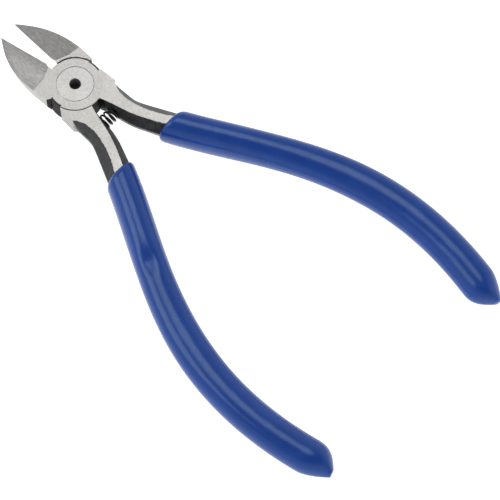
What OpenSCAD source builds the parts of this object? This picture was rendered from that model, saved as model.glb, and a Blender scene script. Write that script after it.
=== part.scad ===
// Sprue nippers: small side cutters with a sprung lap joint and dipped handles.
// Origin on the pivot axis at the back of the joint, +X along the handles'
// bisector towards the jaws, +Z towards the flush-cutting side.
// The levers stand open, as the spring holds them.

/* [Joint] */
// Thickness of the joint and of the ground lever faces
joint_t = 6.5; // [6:0.1:7.5]
// Radius of each lever's half-thickness boss
boss_r = 6.5; // [6.3:0.05:6.6]
// Clearance round the boss, in the other lever's recess
boss_gap = 0.15; // [0.1:0.01:0.25]
// Clearance between the two lap faces
lap_gap = 0.03; // [0.02:0.01:0.06]
// Bevel round the boss's rim
boss_bevel = 0.15; // [0.1:0.05:0.4]
// Angle that each lever stands open, from closed
open_angle = 5.7; // [4:0.1:7]

/* [Rivet] */
// Radius of the rivet's shank
shank_r = 2.6; // [2.2:0.1:3]
// Radius of its flush heads
head_r = 4.3; // [3.8:0.1:4.8]
// Thickness of its flush heads
head_t = 1; // [0.8:0.1:1.4]
// Running clearance between the rivet and the front lever
run_gap = 0.04; // [0.03:0.01:0.08]
// Radius of the blind hole in the front head
centre_r = 1.3; // [1:0.1:1.6]
// Depth of that hole
centre_depth = 3.6; // [2:0.1:4]

/* [Jaws] */
// Distance from the pivot axis to the start of the cutting edge
edge_start = 8.4; // [8:0.1:9]
// Distance from the pivot axis to the tip
tip_x = 22.2; // [20:0.1:24]
// Half width of the jaws beside the joint
jaw_w = 7.05; // [6.9:0.05:7.3]
// Distance from the pivot axis to where the flush faces start
flush_start = 7.5; // [7.2:0.1:8]
// Slope of the flush faces towards the tip
flush_slope = 15.6; // [12:0.1:18]
// Slope of the flush faces towards their outer edge
flush_roll = 4.5; // [2:0.1:6]
// Angle of the cutting bevels on the back, from the plane where the edges meet
bevel_angle = 33; // [25:1:40]
// Angle at which the back of the jaws thins towards the tip
back_slope = 4.8; // [2:0.1:6]
// Half of the gap that is left between the closed edges
edge_gap = 0.02; // [0.01:0.01:0.04]
// Draft on the outer side of the front lever's jaw, over half of the thickness
front_draft = 1.1; // [0.3:0.1:1.4]
// Draft on the outer side of the back lever's jaw, over half of the thickness
back_draft = 0.35; // [0.2:0.05:1]

/* [Handles] */
// Half width of the tangs along their parting line
ridge_w = 3.1; // [2.7:0.05:3.2]
// Height of the narrow land along that line
land = 1; // [0.6:0.1:1.4]
// Half width of the tangs' flat faces
flat_w = 1.1; // [1:0.02:1.6]
// Thickness of the tangs at their ends
tang_end_t = 4.4; // [4:0.1:5]
// Share of the handle's length that the tang reaches
tang_reach = 0.95; // [0.94:0.01:0.97]

/* [Grips] */
// Distance along the closed handles from the pivot axis to the grips' mouths
mouth_x = 22.5; // [22:0.1:23]
// Half width of the grips at the mouth
grip_w0 = 3.85; // [3.7:0.05:4]
// Half width of the grips near the end
grip_w1 = 4.25; // [4:0.05:4.4]
// Half height of the grips at the mouth
grip_h0 = 4.3; // [4.1:0.05:4.5]
// Half height of the grips near the end
grip_h1 = 3.3; // [3.1:0.05:3.5]
// Length of the blunt, wedge-shaped end
grip_end = 7; // [5:0.1:8]
// Distance of the wedge's tip from the centre line, towards the outside
apex = 1.05; // [0:0.05:1.5]
// Length of the rounded lip at the mouth
lip = 1.4; // [1:0.1:2]

/* [Spring] */
// Distance from the pivot axis to the spring's axis
spring_x = 10.3; // [10:0.1:11]
// Outer radius of the coils
coil_r = 1.75; // [1.6:0.05:2]
// Wire diameter
wire_d = 0.45; // [0.4:0.05:0.7]
// Free length
spring_l = 6.6; // [6.2:0.1:7]
// Number of open turns between the two closed end turns
open_turns = 5.3; // [4.4:0.1:5.6]
// Radial clearance in the pockets
pocket_gap = 0.15; // [0.1:0.05:0.2]

/* [Hidden] */
$fn = 96;
mid = joint_t / 2;
recess_r = boss_r + boss_gap;
past = 1;
far = 60;
end_turns = 0.75;
curve_steps = 14;
relief = 0.38;

// Jaw outline in the closed position: the shoulder, the long outer curve and
// the tip, as control points.
shoulder = [[2.1, 6.2], [2.7, jaw_w]];
jaw_curve = [[5.5, jaw_w], [13.5, jaw_w - 0.46], [tip_x - 4.2, 3.6], [tip_x - 0.3, 0.45]];

// Handle: its centre line from the mouth of the grip to the end.
handle_line = [[-mouth_x, -6.05], [-45.3, -13.9], [-66.7, -30.9], [-105.8, -15.65]];
// Neck between the joint and the grip: its four long edges start here.
neck_x = -6.5;
neck_outer = -6.25;
neck_inner = -0.35;
neck_flat_inner = -0.62;

function bez(p, t) =
    pow(1 - t, 3) * p[0] + 3 * pow(1 - t, 2) * t * p[1] + 3 * (1 - t) * t * t * p[2]
    + pow(t, 3) * p[3];
function bez_slope(p, t) =
    3 * pow(1 - t, 2) * (p[1] - p[0]) + 6 * (1 - t) * t * (p[2] - p[1])
    + 3 * t * t * (p[3] - p[2]);
function unit(v) = v / norm(v);
function left(v) = [-v[1], v[0]];
function ease(t) = t <= 0 ? 0 : t >= 1 ? 1 : t * t * (3 - 2 * t);
function mix(a, b, t) = a + (b - a) * t;

jaw_edge = [for (i = [0:curve_steps]) bez(jaw_curve, i / curve_steps)];

// A point beside the handle's centre line; w is positive towards the outside.
function beside(t, w) =
    bez(handle_line, t) + w * left(unit(bez_slope(handle_line, t)));

// The four long edges of the neck, as curves.
ridge_out = [[neck_x, neck_outer], [-14.4, -6], [-10.2, -4.9], beside(0, ridge_w)];
ridge_in = [[neck_x, neck_inner], [-16, -0.15], [-16, -0.96], beside(0, -ridge_w)];
flat_out = [[neck_x, neck_outer], [-9.7, -2.1], [-19.1, -5.25], beside(0, flat_w)];
flat_in = [[neck_x, neck_flat_inner], [-12, -2.1], [-13, -0.9], beside(0, -flat_w)];

// Thickness of the tang along the handle, t from 0 at the mouth to 1 at the end.
function tang_t(t) = mix(joint_t, tang_end_t, ease((t - 0.15) / 0.35));

// One eight-sided section of a tang from its edges in plan.
function octagon(ro, ri, fo, fi, t) = [
    [ro[0], ro[1], mid + land / 2],
    [fo[0], fo[1], mid + t / 2],
    [fi[0], fi[1], mid + t / 2],
    [ri[0], ri[1], mid + land / 2],
    [ri[0], ri[1], mid - land / 2],
    [fi[0], fi[1], mid - t / 2],
    [fo[0], fo[1], mid - t / 2],
    [ro[0], ro[1], mid - land / 2]
];

neck_steps = 14;
tang_steps = 18;
tang_rings = [
    for (i = [0:neck_steps - 1])
        let (t = i / neck_steps)
        octagon(bez(ridge_out, t), bez(ridge_in, t), bez(flat_out, t), bez(flat_in, t), joint_t),
    for (i = [0:tang_steps])
        let (t = tang_reach * i / tang_steps)
        octagon(beside(t, ridge_w), beside(t, -ridge_w), beside(t, flat_w), beside(t, -flat_w), tang_t(t))
];

// A closed skin over a list of rings with the same number of points. The rings
// run clockwise as seen along the sweep.
module skin(rings) {
    n = len(rings[0]);
    last = len(rings) - 1;
    polyhedron(
        points = [for (r = rings) each r],
        faces = [
            [for (j = [0:n - 1]) j],
            [for (j = [n - 1:-1:0]) last * n + j],
            for (i = [0:last - 1])
                for (j = [0:n - 1])
                    let (k = (j + 1) % n)
                    each [
                        [i * n + j, (i + 1) * n + j, (i + 1) * n + k],
                        [i * n + j, (i + 1) * n + k, i * n + k]
                    ]
        ]
    );
}

module tang() {
    skin(tang_rings);
}

// The jaw before grinding, in plan.
module jaw_blank() {
    linear_extrude(joint_t)
        polygon([
            [1, 0.5], shoulder[0], shoulder[1],
            each jaw_edge,
            [tip_x, edge_gap], [edge_start, edge_gap],
            [edge_start - 0.7, relief], [recess_r + 0.2, relief]
        ]);
}

// The draft on the outer side of the jaw, over the half away from the boss.
module draft_cuts(draft) {
    for (i = [0:curve_steps - 1]) {
        p = jaw_edge[i];
        d = jaw_edge[i + 1] - p;
        translate([p[0], p[1], mid])
            rotate([0, 0, atan2(d[1], d[0])])
                rotate([-atan(draft / mid), 0, 0])
                    translate([-far / 2, 0, -far / 4])
                        cube([far, far / 4, far / 4]);
    }
}

module neck_block() {
    linear_extrude(joint_t)
        polygon([
            [-1, -0.6], [-2, -6.1], [-2.4, neck_outer - 0.15],
            [neck_x - 0.1, neck_outer], [neck_x - 0.1, neck_flat_inner], [-boss_r, -0.5]
        ]);
}

module boss() {
    translate([0, 0, mid])
        cylinder(h = mid - boss_bevel, r = boss_r);
    translate([0, 0, joint_t - boss_bevel])
        cylinder(h = boss_bevel, r1 = boss_r, r2 = boss_r - boss_bevel);
}

// One forging, closed, with its boss on the front half and its jaw towards +Y.
module forging(draft) {
    difference() {
        union() {
            boss();
            jaw_blank();
            neck_block();
            tang();
        }
        translate([0, 0, -past])
            cylinder(h = mid + lap_gap / 2 + past, r = recess_r);
        draft_cuts(draft);
    }
}

// Where the front of the jaw towards +Y is ground away to its sloping face.
module flush_cut() {
    translate([flush_start, 0, joint_t])
        rotate([-flush_roll, flush_slope, 0])
            translate([-past, -far / 2, 0])
                cube([far, far, far / 4]);
}

// The cutting bevel on the back of that jaw.
module bevel_cut() {
    translate([flush_start, edge_gap, joint_t])
        rotate([0, flush_slope, 0])
            rotate([bevel_angle, 0, 0])
                translate([0, -far / 4, -far / 4])
                    cube([far, far / 4, far / 4]);
}

// The thinning of the back towards the tip.
module back_cut() {
    translate([edge_start, -far / 2, 0])
        rotate([0, -back_slope, 0])
            translate([0, 0, -far / 4])
                cube([far, far, far / 4]);
}

// The pocket for one end of the spring, towards +Y or -Y as side is 1 or -1.
module spring_pocket(side) {
    translate([-spring_x, 0, mid])
        rotate([-90 * side, 0, 0])
            cylinder(h = spring_l / 2 + 0.05, r = coil_r + pocket_gap);
}

module front_lever() {
    color("gainsboro")
        difference() {
            rotate([0, 0, open_angle])
                difference() {
                    forging(front_draft);
                    flush_cut();
                    bevel_cut();
                    back_cut();
                }
            spring_pocket(-1);
            cylinder(h = joint_t + past, r = shank_r + run_gap);
            translate([0, 0, joint_t - head_t - lap_gap])
                cylinder(h = head_t + past, r = head_r + run_gap);
        }
}

module back_lever() {
    color("silver")
        difference() {
            rotate([0, 0, -open_angle])
                difference() {
                    translate([0, 0, joint_t])
                        rotate([180, 0, 0])
                            forging(back_draft);
                    mirror([0, 1, 0]) {
                        flush_cut();
                        bevel_cut();
                        back_cut();
                    }
                }
            spring_pocket(1);
            translate([0, 0, -past])
                cylinder(h = joint_t + past, r = shank_r);
            translate([0, 0, -past])
                cylinder(h = head_t + past, r = head_r);
        }
}

module pivot_rivet() {
    color("lightgray")
        difference() {
            union() {
                cylinder(h = joint_t, r = shank_r);
                cylinder(h = head_t, r = head_r);
                translate([0, 0, joint_t - head_t])
                    cylinder(h = head_t, r = head_r);
            }
            translate([0, 0, joint_t - centre_depth])
                cylinder(h = centre_depth + past, r = centre_r);
        }
}

// Place along the spring after a number of turns: closed, open, closed.
total_turns = open_turns + 2 * end_turns;
open_pitch = (spring_l - wire_d - 2 * end_turns * wire_d) / open_turns;
function along(turn) =
    wire_d / 2 + wire_d * min(turn, end_turns)
    + open_pitch * max(0, min(turn - end_turns, open_turns))
    + wire_d * max(0, turn - end_turns - open_turns);

module coil_spring() {
    steps = 13;
    sides = 8;
    rings = ceil(total_turns * steps);
    mean_r = coil_r - wire_d / 2;
    color("black")
        translate([-spring_x, -spring_l / 2, mid])
            skin([
                for (i = [0:rings])
                    let (turn = total_turns * i / rings, a = 360 * turn)
                    [
                        for (j = [0:sides - 1])
                            let (b = 360 * j / sides, r = mean_r + wire_d / 2 * cos(b))
                            [r * sin(a), along(turn) + wire_d / 2 * sin(b), r * cos(a)]
                    ]
            ]);
}

// Size of the grip along the handle, t from 0 at the mouth to 1 at the end.
function grip_w(t) = mix(grip_w0, grip_w1, ease((t - 0.25) / 0.4));
function grip_h(t) = mix(grip_h0, grip_h1, ease((t - 0.12) / 0.4));

// One section of the grip. The plane of the section turns from the mouth's,
// which is upright and square to the bisector, to one square to the handle. It
// is drawn in by so much on its outer side, its inner side, and above and below.
grip_sides = 24;
function grip_ring(t, outer, inner, flat) =
    let (
        along_handle = unit(bez_slope(handle_line, t)),
        square = left(along_handle),
        mouth = [-sin(open_angle), -cos(open_angle)],
        across = unit(mix(mouth, square, ease(t / 0.12))),
        reach = 1 / (across * square),
        middle = bez(handle_line, t),
        w = (grip_w(t) - (outer + inner) / 2) * reach,
        shift = (inner - outer) / 2,
        h = grip_h(t) - flat
    )
    [
        for (j = [0:grip_sides - 1])
            let (
                a = 360 * j / grip_sides,
                c = cos(a),
                s = sin(a),
                x = shift + sign(c) * pow(abs(c), 0.88) * w,
                z = sign(s) * pow(abs(s), 0.88) * h
            )
            [middle[0] + across[0] * x, middle[1] + across[1] * x, mid + z]
    ];

lip_steps = 4;
body_steps = 22;
end_steps = 9;
lip_t = lip / norm(bez_slope(handle_line, 0));
end_t = grip_end / norm(bez_slope(handle_line, 1));
lip_in = 0.75;
end_half_w = 0.9;
end_half_h = 1.2;
outer_bluntness = 1.5;
inner_bluntness = 3.1;
flat_bluntness = 2.8;
grip_rings = [
    for (i = [0:lip_steps - 1])
        let (a = 90 * i / lip_steps, drawn = lip_in * (1 - sin(a)))
        grip_ring(lip_t * (1 - cos(a)), drawn, drawn, drawn),
    for (i = [0:body_steps])
        grip_ring(mix(lip_t, 1 - end_t, i / body_steps), 0, 0, 0),
    for (i = [1:end_steps])
        let (u = sin(90 * i / end_steps))
        grip_ring(
            1 - end_t * (1 - u),
            (grip_w1 - end_half_w - apex) * pow(u, outer_bluntness),
            (grip_w1 - end_half_w + apex) * pow(u, inner_bluntness),
            (grip_h1 - end_half_h) * pow(u, flat_bluntness)
        )
];

module grip() {
    difference() {
        skin(grip_rings);
        tang();
    }
}

module front_grip() {
    color("mediumblue")
        rotate([0, 0, open_angle])
            grip();
}

module back_grip() {
    color("royalblue")
        rotate([0, 0, -open_angle])
            translate([0, 0, joint_t])
                rotate([180, 0, 0])
                    grip();
}

back_lever();
front_lever();
pivot_rivet();
coil_spring();
back_grip();
front_grip();
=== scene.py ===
import math

import bmesh
import bpy
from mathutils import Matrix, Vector


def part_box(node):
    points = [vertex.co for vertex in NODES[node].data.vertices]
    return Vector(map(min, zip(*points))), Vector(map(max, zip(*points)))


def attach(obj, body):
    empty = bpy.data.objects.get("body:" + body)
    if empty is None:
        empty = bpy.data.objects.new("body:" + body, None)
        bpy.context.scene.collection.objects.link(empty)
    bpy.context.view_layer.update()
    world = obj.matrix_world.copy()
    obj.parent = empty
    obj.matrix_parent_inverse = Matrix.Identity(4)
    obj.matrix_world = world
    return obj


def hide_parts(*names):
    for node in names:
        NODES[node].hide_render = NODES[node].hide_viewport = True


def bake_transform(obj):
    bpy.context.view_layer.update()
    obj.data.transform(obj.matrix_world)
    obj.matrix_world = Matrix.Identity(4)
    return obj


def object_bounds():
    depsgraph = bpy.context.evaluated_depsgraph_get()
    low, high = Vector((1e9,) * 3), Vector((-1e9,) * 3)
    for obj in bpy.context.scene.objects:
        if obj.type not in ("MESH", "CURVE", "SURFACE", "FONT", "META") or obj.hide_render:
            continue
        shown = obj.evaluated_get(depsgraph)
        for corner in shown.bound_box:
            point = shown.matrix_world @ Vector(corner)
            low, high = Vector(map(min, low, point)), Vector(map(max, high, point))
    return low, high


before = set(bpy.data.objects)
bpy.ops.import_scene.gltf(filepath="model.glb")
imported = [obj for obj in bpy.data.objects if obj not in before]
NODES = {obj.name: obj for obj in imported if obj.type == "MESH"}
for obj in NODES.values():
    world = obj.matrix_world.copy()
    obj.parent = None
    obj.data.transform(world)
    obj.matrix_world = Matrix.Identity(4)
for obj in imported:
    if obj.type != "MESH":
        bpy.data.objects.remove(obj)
cad_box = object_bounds()

MM = 0.001
JOINT_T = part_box("pivot_rivet")[1].z / MM
MID = JOINT_T / 2
HEAD_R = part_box("pivot_rivet")[1].x / MM
OPEN_ANGLE = math.radians(5.7)

# Handles, closed, in mm: the centre line of the front lever's grip as a Bezier curve.
HANDLE = [Vector(p) for p in ((-22.5, -6.05), (-45.3, -13.9), (-66.7, -30.9), (-105.8, -15.65))]
# Half width and half height of the grips at the mouth and near the end.
GRIP_W = (3.845, 4.245)
GRIP_H = (4.3, 3.3)
# How far the crest of the grips lies towards the outside.
CREST = 0.35
# The dent in the back grip: depth, place and length along the handle, place and width across it.
DENT_DEPTH = 0.46
DENT_ALONG = (0.312, 0.040)
DENT_ACROSS = (0.3, 2.1)


# ---------------------------------------------------------------- small helpers

def mix(a, b, t):
    return a + (b - a) * t


def ease(t):
    t = min(max(t, 0.0), 1.0)
    return t * t * (3 - 2 * t)


def bump(x, centre, width):
    return math.exp(-((x - centre) / width) ** 2)


def bezier(points, t):
    a, b, c, d = points
    return a * (1 - t) ** 3 + b * 3 * (1 - t) ** 2 * t + c * 3 * (1 - t) * t * t + d * t ** 3


def bezier_slope(points, t):
    a, b, c, d = points
    return (b - a) * 3 * (1 - t) ** 2 + (c - b) * 6 * (1 - t) * t + (d - c) * 3 * t * t


def new_object(name, bm, materials, smooth_angle=30):
    """A mesh object from a bmesh in metres, smooth except along edges sharper than the angle."""
    mesh = bpy.data.meshes.new(name)
    bmesh.ops.recalc_face_normals(bm, faces=bm.faces)
    bm.to_mesh(mesh)
    bm.free()
    for m in materials:
        mesh.materials.append(m)
    mesh.shade_smooth()
    mesh.set_sharp_from_angle(angle=math.radians(smooth_angle))
    obj = bpy.data.objects.new(name, mesh)
    bpy.context.scene.collection.objects.link(obj)
    return obj


def skin(bm, rings):
    """Joins rings of points, in mm, into a tube, with flat caps at its ends."""
    rows = [[bm.verts.new(Vector(p) * MM) for p in ring] for ring in rings]
    count = len(rows[0])
    for a, b in zip(rows, rows[1:]):
        for j in range(count):
            k = (j + 1) % count
            bm.faces.new((a[j], b[j], b[k], a[k]))
    bm.faces.new(rows[0])
    bm.faces.new(rows[-1])


# ---------------------------------------------------------------- materials

class Nodes:
    """A short way to write a material's node tree."""

    def __init__(self, name):
        self.material = bpy.data.materials.new(name)
        self.material.use_nodes = True
        self.tree = self.material.node_tree
        self.shader = self.tree.nodes["Principled BSDF"]
        coords = self.tree.nodes.new("ShaderNodeTexCoord")
        self.place = coords.outputs["Object"]

    def add(self, kind, inputs=None, out=0, **properties):
        n = self.tree.nodes.new(kind)
        for key, value in properties.items():
            setattr(n, key, value)
        for key, value in (inputs or {}).items():
            self.put(n.inputs[key], value)
        return n.outputs[out]

    def put(self, socket, value):
        if isinstance(value, bpy.types.NodeSocket):
            self.tree.links.new(value, socket)
        else:
            socket.default_value = value

    def set(self, **values):
        for key, value in values.items():
            self.put(self.shader.inputs[key.replace("_", " ")], value)

    def scaled(self, scale, turn=0.0):
        """Object coordinates in units of scale mm along x, y and z, turned about Z."""
        size = [1 / (MM * s) for s in scale]
        return self.add("ShaderNodeMapping", {"Vector": self.place, "Rotation": (0, 0, turn), "Scale": size})

    def noise(self, scale, detail=3.0, roughness=0.55, turn=0.0):
        if not isinstance(scale, tuple):
            scale = (scale,) * 3
        at = self.scaled(scale, turn)
        inputs = {"Vector": at, "Scale": 1.0, "Detail": detail, "Roughness": roughness}
        return self.add("ShaderNodeTexNoise", inputs)

    def ramp(self, value, low, high, a=0.0, b=1.0):
        return self.add("ShaderNodeMapRange", {0: value, 1: low, 2: high, 3: a, 4: b})

    def math(self, operation, a, b=0.0):
        return self.add("ShaderNodeMath", {0: a, 1: b}, operation=operation)

    def blend(self, factor, a, b):
        n = self.tree.nodes.new("ShaderNodeMix")
        n.data_type = "RGBA"
        self.put(n.inputs["Factor"], factor)
        self.put(n.inputs["A"], a)
        self.put(n.inputs["B"], b)
        return n.outputs["Result"]

    def bumps(self, height, distance, strength=1.0, normal=None):
        inputs = {"Height": height, "Distance": distance * MM, "Strength": strength}
        if normal is not None:
            inputs["Normal"] = normal
        return self.add("ShaderNodeBump", inputs)


def colour(r, g, b):
    return (r, g, b, 1.0)


def ground_steel(name, base, warm, roughness, grain_turn, oxide_and_shade_rim=False):
    """Bright steel from the surface grinder: fine speckle over soft parallel scratches."""
    n = Nodes(name)
    speckle = n.noise(0.42, detail=3.0, roughness=0.7)
    patches = n.noise(2.6, detail=2.0)
    scratch = n.noise((2.2, 0.07, 2.2), detail=3.0, turn=grain_turn)
    tone = n.blend(n.ramp(patches, 0.35, 0.65), base, warm)
    dark = colour(*[c * 0.60 for c in base[:3]])
    tone = n.blend(n.ramp(speckle, 0.36, 0.60, 0.75, 0.0), tone, dark)
    tone = n.blend(n.ramp(scratch, 0.40, 0.62, 0.3, 0.0), tone, dark)
    grain = n.ramp(speckle, 0.3, 0.7, roughness - 0.05, roughness + 0.06)
    rough = n.math("ADD", grain, n.ramp(patches, 0.3, 0.7, -0.02, 0.03))
    relief = n.bumps(speckle, 0.012, 0.35)
    relief = n.bumps(scratch, 0.010, 0.35, relief)
    # The boss's rim in the notches: black oxide, made near-black and dull as painted shade.
    if oxide_and_shade_rim:
        metal = n.math("SUBTRACT", 1.0, oxide_and_shade_rim_mask(n))
        tone = n.blend(metal, colour(0.012, 0.012, 0.014), tone)
        rough = n.blend(metal, colour(0.55, 0.55, 0.55), rough)
        n.set(Metallic=metal)
    else:
        n.set(Metallic=1.0)
    n.set(Base_Color=tone, Roughness=rough, Normal=relief)
    return n.material


def oxide_and_shade_rim_mask(n):
    """1 on the boss's rim where it lies free in the notches, and 0 elsewhere: where black oxide and painted
    shade go.
    """
    rim_r = 6.08
    notch_half_w = 1.5
    wobble = n.ramp(n.noise(0.5, detail=3.0), 0.3, 0.7, -0.12, 0.12)
    split = n.tree.nodes.new("ShaderNodeSeparateXYZ")
    n.put(split.inputs[0], n.scaled((1, 1, 1)))
    x, y = split.outputs["X"], split.outputs["Y"]
    radius = n.math("SQRT", n.math("ADD", n.math("MULTIPLY", x, x), n.math("MULTIPLY", y, y)))
    outside = n.math("GREATER_THAN", n.math("ADD", radius, wobble), rim_r)
    inside = n.math("LESS_THAN", n.math("ADD", n.math("ABSOLUTE", x), wobble), notch_half_w)
    return n.math("MULTIPLY", outside, inside)


def blade_steel(name, grain_turn):
    """The flush faces: darker, more finely ground, with faint slanting marks."""
    n = Nodes(name)
    fine = n.noise((1.1, 0.10, 1.1), detail=3.0, turn=grain_turn)
    broad = n.noise((2.2, 0.6, 2.2), detail=2.0, turn=grain_turn + 0.2)
    speckle = n.noise(0.12, detail=3.0)
    tone = n.blend(n.ramp(broad, 0.35, 0.65), colour(0.40, 0.393, 0.385), colour(0.50, 0.493, 0.485))
    tone = n.blend(n.ramp(fine, 0.4, 0.62, 0.7, 0.0), tone, colour(0.22, 0.217, 0.212))
    tone = n.blend(n.ramp(speckle, 0.38, 0.6, 0.25, 0.0), tone, colour(0.28, 0.275, 0.27))
    relief = n.bumps(fine, 0.008, 0.4)
    n.set(Base_Color=tone, Metallic=1.0, Roughness=n.ramp(broad, 0.3, 0.7, 0.36, 0.44), Normal=relief)
    return n.material


def oxide_steel(name):
    """Forged flanks under black oxide, rubbed bright here and there near the ground faces."""
    n = Nodes(name)
    forge = n.noise(0.9, detail=4.0, roughness=0.6)
    fine = n.noise(0.14, detail=3.0)
    wander = n.noise(0.9, detail=4.0, roughness=0.7)
    height = n.add("ShaderNodeSeparateXYZ", {0: n.place}, out=2)
    below_top = n.math("SUBTRACT", MID * MM, n.math("ABSOLUTE", n.math("SUBTRACT", height, MID * MM)))
    edge = n.math("LESS_THAN", below_top, n.ramp(wander, 0.45, 0.75, 0.0, 0.30 * MM))
    tone = n.blend(n.ramp(forge, 0.35, 0.7), colour(0.018, 0.019, 0.021), colour(0.05, 0.052, 0.055))
    tone = n.blend(n.ramp(fine, 0.62, 0.75, 0.0, 0.5), tone, colour(0.12, 0.118, 0.112))
    tone = n.blend(edge, tone, colour(0.52, 0.51, 0.485))
    relief = n.bumps(forge, 0.10, 0.5)
    relief = n.bumps(fine, 0.02, 0.35, relief)
    metal = n.ramp(edge, 0, 1, 0.2, 1.0)
    rough = n.ramp(forge, 0.3, 0.7, 0.42, 0.56)
    n.set(Base_Color=tone, Metallic=metal, Roughness=rough, Normal=relief)
    n.set(Specular_IOR_Level=0.35)
    return n.material


def worn_steel(name):
    """The narrow land along the forging's parting line, its oxide half gone from handling."""
    n = Nodes(name)
    forge = n.noise(0.8, detail=4.0, roughness=0.65)
    fine = n.noise(0.14, detail=3.0)
    worn = n.ramp(forge, 0.38, 0.66)
    tone = n.blend(worn, colour(0.09, 0.091, 0.094), colour(0.32, 0.32, 0.322))
    relief = n.bumps(forge, 0.06, 0.5)
    relief = n.bumps(fine, 0.02, 0.35, relief)
    metal = n.ramp(worn, 0, 1, 0.3, 0.9)
    rough = n.ramp(fine, 0.3, 0.7, 0.38, 0.5)
    n.set(Base_Color=tone, Metallic=metal, Roughness=rough, Normal=relief)
    return n.material


def shadow_steel(name):
    """Upright faces round the joint, in the notches and the crotch: black oxide, darkened further as painted
    shade for these recesses.
    """
    n = Nodes(name)
    forge = n.noise(0.7, detail=4.0, roughness=0.6)
    fine = n.noise(0.12, detail=3.0)
    # Near-black: the oxide's own colour darkened as painted shade.
    tone = n.blend(n.ramp(forge, 0.35, 0.7), colour(0.004, 0.004, 0.005), colour(0.014, 0.014, 0.016))
    relief = n.bumps(forge, 0.08, 0.5)
    relief = n.bumps(fine, 0.02, 0.35, relief)
    rough = n.ramp(fine, 0.3, 0.7, 0.5, 0.65)
    n.set(Base_Color=tone, Specular_IOR_Level=0.12, Roughness=rough, Normal=relief)
    return n.material


def spring_wire(name):
    """Drawn wire under black oxide."""
    n = Nodes(name)
    fine = n.noise(0.1, detail=3.0)
    tone = n.blend(n.ramp(fine, 0.35, 0.7), colour(0.006, 0.006, 0.007), colour(0.03, 0.03, 0.032))
    rough = n.ramp(fine, 0.3, 0.7, 0.3, 0.42)
    n.set(Base_Color=tone, Metallic=0.5, Roughness=rough, Normal=n.bumps(fine, 0.01, 0.4))
    return n.material


def hole_steel(name):
    """The drilled wall of the rivet's hole: dull and a little rough."""
    n = Nodes(name)
    fine = n.noise(0.2, detail=3.0)
    tone = n.blend(n.ramp(fine, 0.35, 0.7), colour(0.15, 0.14, 0.145), colour(0.26, 0.245, 0.25))
    rough = n.ramp(fine, 0.3, 0.7, 0.5, 0.65)
    n.set(Base_Color=tone, Roughness=rough, Normal=n.bumps(fine, 0.03, 0.6))
    return n.material


def vinyl(name):
    """Dip-coated vinyl: glossy, with the slow waves of a thick coat that ran before it set."""
    n = Nodes(name)
    waves = n.noise((7.0, 7.0, 7.0), detail=1.5, roughness=0.4)
    peel = n.noise(0.8, detail=2.0)
    pigment = n.noise(5.0, detail=3.0)
    tone = n.blend(n.ramp(pigment, 0.35, 0.65), colour(0.009, 0.050, 0.285), colour(0.012, 0.058, 0.32))
    relief = n.bumps(waves, 0.35, 0.30)
    relief = n.bumps(peel, 0.012, 0.25, relief)
    n.set(Base_Color=tone, Roughness=n.ramp(peel, 0.3, 0.7, 0.20, 0.25), Normal=relief)
    n.set(Subsurface_Weight=0.08, Subsurface_Radius=(0.3, 0.6, 1.0), Subsurface_Scale=0.0012)
    n.set(Specular_IOR_Level=0.5, Specular_Tint=colour(0.74, 0.95, 1.0))
    return n.material


# Direction of the grinding scratches in the XY plane, in radians.
FACE_GRAIN = 0.6
SIDE_GRAIN = 0.1
BLADE_GRAIN = 0.9

# The top faces, with black oxide and painted shade on the boss's rim in the notches.
TOP_STEEL = ground_steel(
    "ground_steel_top", colour(0.55, 0.542, 0.525), colour(0.585, 0.572, 0.537), 0.34, FACE_GRAIN,
    oxide_and_shade_rim=True,
)
SIDE_STEEL = ground_steel(
    "ground_steel_sides", colour(0.52, 0.515, 0.502), colour(0.56, 0.555, 0.54), 0.38, SIDE_GRAIN,
)
NECK_STEEL = ground_steel(
    "ground_steel_neck", colour(0.47, 0.464, 0.452), colour(0.51, 0.503, 0.486), 0.42, SIDE_GRAIN,
)
BLADE_STEEL = blade_steel("blade_steel", BLADE_GRAIN)
OXIDE = oxide_steel("oxide_steel")
SHADOW = shadow_steel("oxide_steel_painted_shade")
WORN = worn_steel("oxide_steel_worn")
RIVET_STEEL = ground_steel(
    "rivet_steel_ground", colour(0.575, 0.568, 0.553), colour(0.605, 0.595, 0.577), 0.33, FACE_GRAIN,
)
HOLE = hole_steel("rivet_hole_dark")
WIRE = spring_wire("spring_steel_black")
VINYL = vinyl("grip_blue_vinyl")


# ---------------------------------------------------------------- levers

LEVER_MATERIALS = [TOP_STEEL, SIDE_STEEL, BLADE_STEEL, OXIDE, SHADOW, NECK_STEEL, WORN]
TOP, SIDE, BLADE, DARK, SHADED_OXIDE, NECK, LAND = range(7)
# Bounds that tell the closed forging's faces apart, in mm: a circle round the joint with the notches in it,
# and lines just before the flush face, just before the jaw's outer wall, and round the neck's ground wall.
NOTCH_R = 7.25
FLUSH_X = 7.2
JAW_X = 2.6
NECK_X = (-6.9, -2.2)
NECK_Y = -5.9
# How far a face may lie from the ground faces and still be one of them.
GROUND_SLACK = 0.02


def lever_slot(face, turn, side):
    """Which of the lever's materials a face wears. turn closes the lever and side mirrors it to jaw +Y."""
    c = face.calc_center_median() / MM
    n = face.normal
    x = c.x * math.cos(turn) - c.y * math.sin(turn)
    y = (c.x * math.sin(turn) + c.y * math.cos(turn)) * side
    flat = abs(n.z) > 0.999
    at_surface = c.z > JOINT_T - GROUND_SLACK or c.z < GROUND_SLACK
    if flat and at_surface:
        return TOP
    if x > FLUSH_X and n.z > 0.94:
        return BLADE
    if math.hypot(x, y) < NOTCH_R:
        # Upright faces near the joint wear the oxide darkened as painted shade.
        return TOP if abs(n.z) > 0.5 else SHADED_OXIDE
    if x > JAW_X:
        return SIDE
    if NECK_X[0] < x < NECK_X[1] and y < NECK_Y and abs(n.z) < 0.3:
        return NECK
    if abs(n.z) < 0.2:
        return LAND
    return DARK


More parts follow.
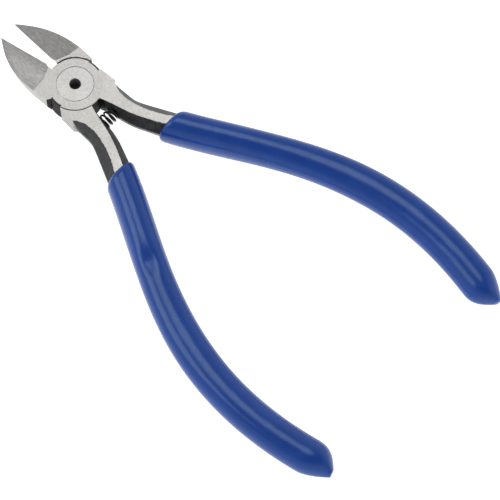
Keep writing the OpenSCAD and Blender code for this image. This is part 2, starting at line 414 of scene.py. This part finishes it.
def lever(name, node, body, side):
    """The forging as cut, with its edges broken and each of its faces given the finish it has."""
    same_place = 2e-6
    same_plane = math.radians(0.3)
    broken_edge = 0.07
    bm = bmesh.new()
    bm.from_mesh(NODES[node].data)
    bmesh.ops.remove_doubles(bm, verts=bm.verts, dist=same_place)
    bmesh.ops.dissolve_limit(bm, angle_limit=same_plane, verts=bm.verts, edges=bm.edges)
    bm.normal_update()
    turn = -OPEN_ANGLE if side > 0 else OPEN_ANGLE
    for face in bm.faces:
        face.material_index = lever_slot(face, turn, side)
    obj = new_object(name, bm, LEVER_MATERIALS, smooth_angle=24)
    round_off = obj.modifiers.new("broken_edges", "BEVEL")
    round_off.width = broken_edge * MM
    round_off.segments = 2
    round_off.limit_method = "ANGLE"
    round_off.angle_limit = math.radians(28)
    round_off.use_clamp_overlap = True
    round_off.harden_normals = True
    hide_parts(node)
    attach(obj, body)


lever("lever_front", "front_lever", "front_body", 1)
lever("lever_back", "back_lever", "back_body", -1)


# ---------------------------------------------------------------- rivet

def rivet():
    """Turned about its axis: two flush heads with broken edges and a blind hole in the front one."""
    hole_r = 1.3
    shank_r = 2.6
    head_t = 1.0
    edge = 0.09
    floor_z = JOINT_T - 3.6
    drill_cone = 0.55
    ground, drilled = range(2)
    # Radius, height, and the finish from there to the next point.
    profile = [
        (0.0, floor_z - drill_cone, drilled),
        (hole_r * 0.97, floor_z, drilled),
        (hole_r, floor_z + 0.25, drilled),
        (hole_r, JOINT_T - 0.14, drilled),
        (hole_r + 0.03, JOINT_T - 0.04, ground),
        (hole_r + 0.10, JOINT_T - 0.005, ground),
        (hole_r + 0.14, JOINT_T, ground),
        (hole_r + 0.2, JOINT_T, ground),
        (HEAD_R - edge * 2, JOINT_T, ground),
        (HEAD_R - edge * 1.5, JOINT_T, ground),
        (HEAD_R - edge, JOINT_T - edge * 0.06, ground),
        (HEAD_R - edge * 0.3, JOINT_T - edge * 0.3, ground),
        (HEAD_R, JOINT_T - edge, ground),
        (HEAD_R, JOINT_T - head_t, ground),
        (shank_r, JOINT_T - head_t, ground),
        (shank_r, head_t, ground),
        (HEAD_R, head_t, ground),
        (HEAD_R, edge, ground),
        (HEAD_R - edge * 0.3, edge * 0.3, ground),
        (HEAD_R - edge, 0.0, ground),
        (HEAD_R * 0.5, 0.0, ground),
        (0.0, 0.0, ground),
    ]
    sides = 96
    bm = bmesh.new()
    rows = []
    for r, z, _ in profile:
        if r == 0:
            rows.append([bm.verts.new(Vector((0, 0, z)) * MM)])
            continue
        angles = [math.tau * j / sides for j in range(sides)]
        rows.append([bm.verts.new(Vector((r * math.cos(a), r * math.sin(a), z)) * MM) for a in angles])
    for i in range(len(rows) - 1):
        a, b = rows[i], rows[i + 1]
        for j in range(sides):
            k = (j + 1) % sides
            corners = [a[j % len(a)], b[j % len(b)], b[k % len(b)], a[k % len(a)]]
            face = bm.faces.new(list(dict.fromkeys(corners)))
            face.material_index = profile[i][2]
    obj = new_object("rivet", bm, [RIVET_STEEL, HOLE], smooth_angle=12)
    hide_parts("pivot_rivet")
    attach(obj, "back_body")


rivet()


# ---------------------------------------------------------------- spring

def spring():
    """Compression spring: closed end turns, open turns between, round wire cut square at its ends."""
    low, high = (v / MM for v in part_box("coil_spring"))
    wire_r = 0.225
    mean_r = (high.z - low.z) / 2 - wire_r
    length = high.y - low.y
    centre = (low + high) / 2
    end_turns = 0.75
    open_turns = 5.3
    turns = open_turns + 2 * end_turns
    pitch = (length - 2 * wire_r - 4 * end_turns * wire_r) / open_turns
    steps_per_turn = 44
    steps = int(turns * steps_per_turn)
    sides = 14

    def along(turn):
        closed = 2 * wire_r * min(turn, end_turns)
        opened = pitch * max(0.0, min(turn - end_turns, open_turns))
        return wire_r + closed + opened + 2 * wire_r * max(0.0, turn - end_turns - open_turns)

    rings = []
    for i in range(steps + 1):
        turn = turns * i / steps
        a = math.tau * turn
        ring = []
        for j in range(sides):
            b = math.tau * j / sides
            r = mean_r + wire_r * math.cos(b)
            y = low.y + along(turn) + wire_r * math.sin(b)
            ring.append((centre.x + r * math.sin(a), y, centre.z + r * math.cos(a)))
        rings.append(ring)
    bm = bmesh.new()
    skin(bm, rings)
    obj = new_object("spring", bm, [WIRE], smooth_angle=50)
    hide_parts("coil_spring")
    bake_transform(obj)


spring()


# ---------------------------------------------------------------- grips

def grip_ring(t, drawn, roundness, dent, sides=56):
    """One section of the front grip, closed, at t along the handle from the mouth (0) to the end (1).

    It is drawn in by so much on its outer side, its inner side, and above and below. A roundness of 2
    gives an ellipse, less than that a more pointed section and more than that a fuller one.
    """
    outer, inner, flat = drawn
    forward = bezier_slope(HANDLE, t).normalized()
    square = Vector((-forward.y, forward.x))
    mouth = Vector((-math.sin(OPEN_ANGLE), -math.cos(OPEN_ANGLE)))
    across = mix(mouth, square, ease(t / 0.12)).normalized()
    reach = 1 / across.dot(square)
    middle = bezier(HANDLE, t)
    w = (mix(*GRIP_W, ease((t - 0.25) / 0.4)) - (outer + inner) / 2) * reach
    shift = (inner - outer) / 2
    h = mix(*GRIP_H, ease((t - 0.12) / 0.4)) - flat
    crest = CREST * ease((1 - t) / 0.06)
    ring = []
    for j in range(sides):
        a = math.tau * j / sides
        c = math.cos(a)
        s = math.sin(a)
        x = math.copysign(abs(c) ** (2 / roundness), c) * w
        z = math.copysign(abs(s) ** (2 / roundness), s) * h
        z -= dent * bump(x, *DENT_ACROSS) * max(s, 0)
        aside = shift + x + crest * max(s, 0) ** 2
        ring.append((middle.x + across.x * aside, middle.y + across.y * aside, MID + z))
    return ring


def grip(name, node, body, side):
    """The dipped coat: a rounded lip at the mouth, a long body and a blunt wedge at the end."""
    lip = 1.4
    wedge = 7.0
    apex = 1.05
    tip_w = 0.9
    tip_h = 1.2
    lip_t = lip / bezier_slope(HANDLE, 0).length
    end_t = wedge / bezier_slope(HANDLE, 1).length
    lip_steps = 8
    body_steps = 140
    end_steps = 24
    lip_in = 0.75
    mouth_round = 2.27
    body_round = 2.1
    end_round = 1.6
    # The coat turns in at the mouth: depth inside the mouth and how far the section is drawn in there.
    turned_in = ((0.55, 1.35), (0.10, 1.05))
    rings = []
    for depth, inset in turned_in:
        rings.append(grip_ring(depth / bezier_slope(HANDLE, 0).length, [inset] * 3, mouth_round, 0))
    for i in range(lip_steps):
        a = math.pi / 2 * i / lip_steps
        inset = lip_in * (1 - math.sin(a))
        rings.append(grip_ring(lip_t * (1 - math.cos(a)), [inset] * 3, mouth_round, 0))
    for i in range(body_steps + 1):
        t = mix(lip_t, 1 - end_t, i / body_steps)
        dent = 0.0
        if side < 0:
            dent = DENT_DEPTH * bump(t, *DENT_ALONG)
        roundness = mix(mouth_round, body_round, ease((t - 0.5) / 0.4))
        rings.append(grip_ring(t, [0, 0, 0], roundness, dent))
    for i in range(1, end_steps + 1):
        u = math.sin(math.pi / 2 * i / end_steps)
        outer = (GRIP_W[1] - tip_w - apex) * u ** 1.5
        inner = (GRIP_W[1] - tip_w + apex) * u ** 3.1
        flat = (GRIP_H[1] - tip_h) * u ** 2.8
        rings.append(grip_ring(1 - end_t * (1 - u), [outer, inner, flat], mix(body_round, end_round, u), 0))
    turn = OPEN_ANGLE
    placed = []
    for ring in rings:
        row = []
        for x, y, z in ring:
            across = x * math.sin(turn) + y * math.cos(turn)
            row.append((x * math.cos(turn) - y * math.sin(turn), across * side, z))
        placed.append(row)
    bm = bmesh.new()
    skin(bm, placed)
    obj = new_object(name, bm, [VINYL], smooth_angle=60)
    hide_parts(node)
    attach(obj, body)


grip("grip_front", "front_grip", "front_body", 1)
grip("grip_back", "back_grip", "back_body", -1)


# ---------------------------------------------------------------- studio

def floor():
    """A plain white sheet, lit through from below as well as from above."""
    n = Nodes("white_sheet")
    n.set(Base_Color=colour(0.6, 0.6, 0.6), Roughness=0.9, Specular_IOR_Level=0.1)
    n.set(Emission_Color=colour(1, 1, 1), Emission_Strength=0.9)
    bm = bmesh.new()
    half = 3000
    z = cad_box[0].z / MM
    corners = ((-half, -half), (half, -half), (half, half), (-half, half))
    bm.faces.new([bm.verts.new(Vector((x, y, z)) * MM) for x, y in corners])
    obj = new_object("floor", bm, [n.material])


def softbox(name, direction, distance, size, watts):
    """A square soft light, aimed at the middle of the tool."""
    light = bpy.data.lights.new(name, "AREA")
    light.shape = "RECTANGLE"
    light.size = size
    light.size_y = size
    light.energy = watts
    obj = bpy.data.objects.new(name, light)
    way = Vector(direction).normalized()
    centre = Vector((-0.04, 0, 0))
    obj.location = centre + way * distance
    obj.rotation_euler = way.to_track_quat("Z", "Y").to_euler()
    bpy.context.scene.collection.objects.link(obj)


def camera():
    """Looks down at the tool from behind the front handle, at a long focal length."""
    azimuth = math.radians(223.2)
    elevation = math.radians(69)
    level = math.cos(elevation)
    back = Vector((math.sin(azimuth) * level, -math.cos(azimuth) * level, math.sin(elevation)))
    aim = Vector((-0.0555, 0.0013, 0.0030))
    distance = 0.660
    data = bpy.data.cameras.new("camera")
    data.sensor_width = 36
    data.lens = 213.4
    obj = bpy.data.objects.new("camera", data)
    obj.location = aim + back * distance
    obj.rotation_euler = (-back).to_track_quat("-Z", "Y").to_euler()
    bpy.context.scene.collection.objects.link(obj)
    bpy.context.scene.camera = obj


def tent():
    """A white light tent: bright low down, and dim overhead where it is open."""
    world = bpy.data.worlds.new("tent")
    world.use_nodes = True
    tree = world.node_tree
    coords = tree.nodes.new("ShaderNodeTexCoord")
    split = tree.nodes.new("ShaderNodeSeparateXYZ")
    ramp = tree.nodes.new("ShaderNodeValToRGB")
    tree.links.new(coords.outputs["Generated"], split.inputs[0])
    tree.links.new(split.outputs["Z"], ramp.inputs["Fac"])
    tree.links.new(ramp.outputs["Color"], tree.nodes["Background"].inputs["Color"])
    # Height, from straight down (0) to straight up (1), and brightness.
    stops = ((0.0, 1.0), (0.5, 0.78), (0.74, 0.46), (0.90, 0.13), (1.0, 0.10))
    ramp.color_ramp.elements[0].position = stops[0][0]
    ramp.color_ramp.elements[0].color = colour(*[stops[0][1]] * 3)
    ramp.color_ramp.elements[1].position = stops[-1][0]
    ramp.color_ramp.elements[1].color = colour(*[stops[-1][1]] * 3)
    for place, level in stops[1:-1]:
        ramp.color_ramp.elements.new(place).color = colour(level, level, level)
    bpy.context.scene.world = world


def studio():
    floor()
    camera()
    softbox("key", (0.245, -0.261, 0.934), 0.9, 0.30, 0.80)
    softbox("left_band", (0.48, 0.30, 0.82), 0.9, 0.5, 1.9)
    tent()
    bpy.context.scene.view_settings.view_transform = "Standard"


studio()
